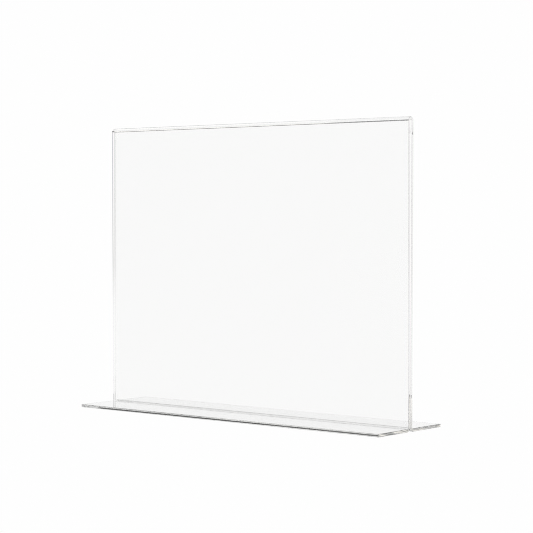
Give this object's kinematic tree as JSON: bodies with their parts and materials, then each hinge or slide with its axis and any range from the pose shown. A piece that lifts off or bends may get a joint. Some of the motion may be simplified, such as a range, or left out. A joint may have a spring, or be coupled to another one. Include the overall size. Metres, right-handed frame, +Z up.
{
  "type": "acrylic sign holder",
  "caption": "Free-standing clear acrylic counter screen bent from a single sheet: close double walls make a thin open-ended pocket and turn outwards at the bottom into flat feet.",
  "frame": {"origin": "on the counter, under the middle of the slot between the feet", "axes": "+X along the stand, +Y from the front foot to the rear foot, +Z up the walls to the fold"},
  "size_m": [0.287, 0.075, 0.2188],
  "materials": {
    "clear_acrylic": "polished"
  },
  "bodies": {
    "root": {"top_fold": "clear_acrylic", "front_wall": "clear_acrylic", "rear_wall": "clear_acrylic", "front_bend": "clear_acrylic", "rear_bend": "clear_acrylic", "front_foot": "clear_acrylic", "rear_foot": "clear_acrylic"}
  },
  "joints": []
}
